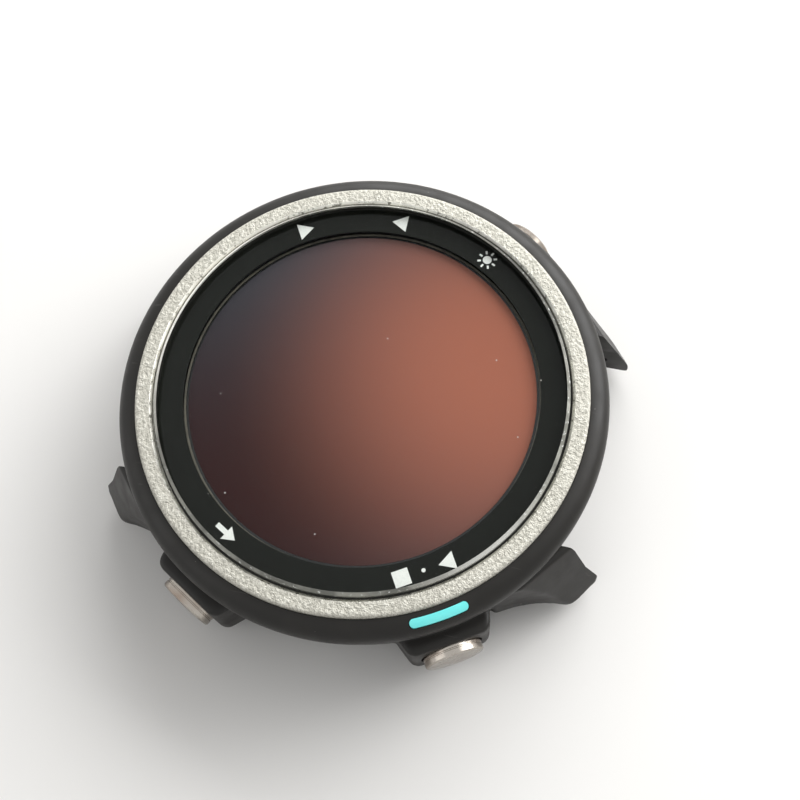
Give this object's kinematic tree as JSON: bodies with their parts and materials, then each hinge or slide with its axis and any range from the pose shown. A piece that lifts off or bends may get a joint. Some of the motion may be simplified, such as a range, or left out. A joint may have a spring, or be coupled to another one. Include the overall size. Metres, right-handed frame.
{
  "type": "wrist dive computer head",
  "caption": "Round watch-style wrist dive computer head without its strap, with sprung side buttons, glass over a round display, strap lugs and a rear pulse sensor.",
  "frame": {"origin": "centre of the rear sensor window's flat outer face, which the head rests on", "axes": "+Z out of the display, +Y to twelve o'clock along the strap, +X to three o'clock"},
  "size_m": [0.0443, 0.045, 0.0122],
  "materials": {
    "case_polymer": "black fibre-reinforced polymer, fine satin texture",
    "ring_paint": "grey metallic paint, fine pebbled grain",
    "accent": "turquoise, satin",
    "cover_glass": "clear chemically hardened glass, polished",
    "border_ink": "black printed ink under the glass",
    "adhesive": "black foam adhesive",
    "display": "dark reflective display, switched off",
    "backlight": "white diffuser",
    "carrier": "dark grey moulded polymer",
    "flex": "amber polyimide",
    "board": "green solder mask",
    "shield": "satin",
    "antenna": "gold plated",
    "cell": "laminated foil",
    "frame": "grey moulded polymer",
    "sensor_window": "dark tinted, polished",
    "led": "green tinted lens",
    "photodiode": "dark, polished",
    "gasket": "black silicone",
    "contact": "gold plated, polished",
    "screw": "stainless, satin",
    "button_steel": "stainless, polished",
    "spring_steel": "stainless wire",
    "switch": "black moulded polymer"
  },
  "bodies": {
    "head": {"case_body": "case_polymer", "upper_shell": "case_polymer", "rear_cover": "case_polymer", "accent_bar": "accent", "bezel_ring": "ring_paint", "cover_glass": "cover_glass", "glass_border": "border_ink", "glass_bond": "adhesive", "display_panel": "display", "display_backlight": "backlight", "display_carrier": "carrier", "display_flex": "flex", "main_board": "board", "sensor_board": "board", "processor_shield": "shield", "gps_receiver": "shield", "vibration_motor": "shield", "antenna_ring": "antenna", "battery": "cell", "inner_frame": "frame", "sensor_window": "sensor_window", "green_led_1": "led", "green_led_2": "led", "green_led_3": "led", "photodiode_1": "photodiode", "photodiode_2": "photodiode", "rear_gasket": "gasket", "charge_contact_1": "contact", "charge_contact_2": "contact", "charge_contact_3": "contact", "charge_contact_4": "contact", "rear_screw_1": "screw", "rear_screw_2": "screw", "rear_screw_3": "screw", "rear_screw_4": "screw", "start_spring": "spring_steel", "start_switch": "switch", "back_spring": "spring_steel", "back_switch": "switch", "light_spring": "spring_steel", "light_switch": "switch", "up_spring": "spring_steel", "up_switch": "switch", "down_spring": "spring_steel", "down_switch": "switch"},
    "start_press": {"start_button": "button_steel", "start_seal": "gasket", "start_clip": "spring_steel"},
    "back_press": {"back_button": "button_steel", "back_seal": "gasket", "back_clip": "spring_steel"},
    "light_press": {"light_button": "button_steel", "light_seal": "gasket", "light_clip": "spring_steel"},
    "up_press": {"up_button": "button_steel", "up_seal": "gasket", "up_clip": "spring_steel"},
    "down_press": {"down_button": "button_steel", "down_seal": "gasket", "down_clip": "spring_steel"}
  },
  "joints": [
    {"name": "start_press", "type": "slide", "parent": "head", "child": "start_press", "axis": [-0.8599, -0.5105, 0], "range_m": [0, 0.0007], "stiffness_N_per_m": 600, "springref_m": -0.001, "deforming": ["start_spring"]},
    {"name": "back_press", "type": "slide", "parent": "head", "child": "back_press", "axis": [-0.8526, 0.5225, 0], "range_m": [0, 0.0007], "stiffness_N_per_m": 600, "springref_m": -0.001, "deforming": ["back_spring"]},
    {"name": "light_press", "type": "slide", "parent": "head", "child": "light_press", "axis": [0.866, -0.5, 0], "range_m": [0, 0.0007], "stiffness_N_per_m": 600, "springref_m": -0.001, "deforming": ["light_spring"]},
    {"name": "up_press", "type": "slide", "parent": "head", "child": "up_press", "axis": [1, 0, 0], "range_m": [0, 0.0007], "stiffness_N_per_m": 600, "springref_m": -0.001, "deforming": ["up_spring"]},
    {"name": "down_press", "type": "slide", "parent": "head", "child": "down_press", "axis": [0.866, 0.5, 0], "range_m": [0, 0.0007], "stiffness_N_per_m": 600, "springref_m": -0.001, "deforming": ["down_spring"]}
  ]
}
